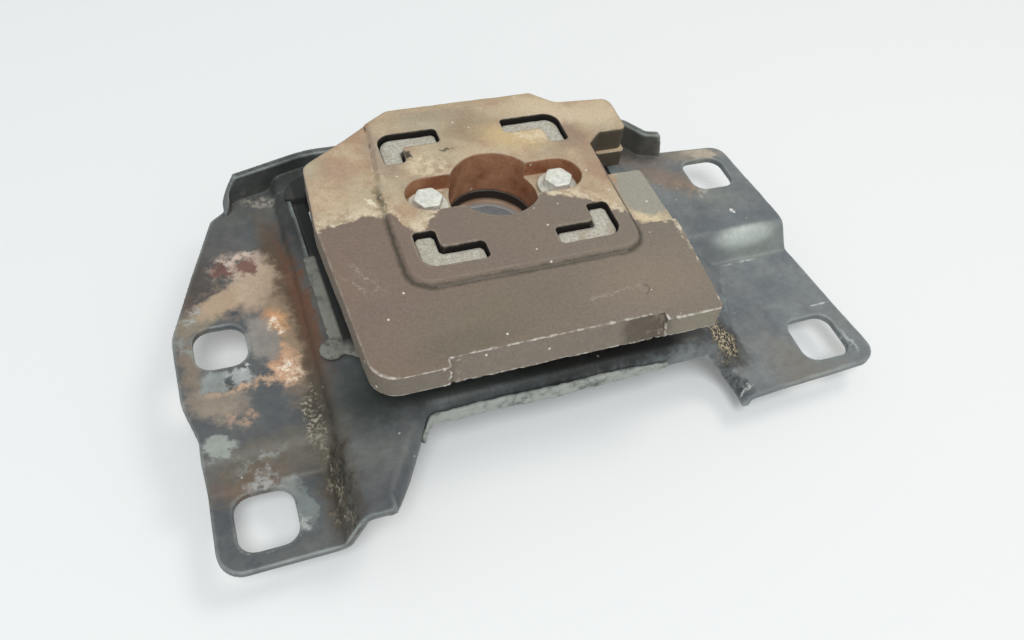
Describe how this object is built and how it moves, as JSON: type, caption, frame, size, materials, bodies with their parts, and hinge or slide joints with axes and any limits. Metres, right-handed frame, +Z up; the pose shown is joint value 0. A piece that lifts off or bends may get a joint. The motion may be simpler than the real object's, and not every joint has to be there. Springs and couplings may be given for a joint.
{
  "type": "engine mount",
  "caption": "Used engine mount: pressed sheet bracket with screw windows, rubber ring, aluminium core with steel sleeve, and a cast inertia plate bolted on top",
  "frame": {"origin": "on the axis of the centre sleeve's bore, level with the foot of the core, on which the mount stands", "axes": "+X is the bracket's right and its longest extent, +Y is its rear, where the sheet has an upturned rim, and +Z is up, along the main stud"},
  "size_m": [0.2615, 0.1659, 0.057],
  "materials": {
    "bracket_paint": "worn satin, blue-grey, dirty",
    "rubber": "matt, dusty",
    "core_alloy": "as cast, dusty",
    "bare_steel": "dull, lightly stained",
    "cast_iron": "primer brown with tan dirt and rust",
    "zinc_plate": "white zinc"
  },
  "bodies": {
    "root": {"mounting_bracket": "bracket_paint", "rubber_body": "rubber", "front_strip": "rubber", "core": "core_alloy", "centre_sleeve": "bare_steel", "inertia_plate": "cast_iron", "washer_left": "bare_steel", "washer_right": "bare_steel", "bolt_left": "zinc_plate", "bolt_right": "zinc_plate"}
  },
  "joints": []
}
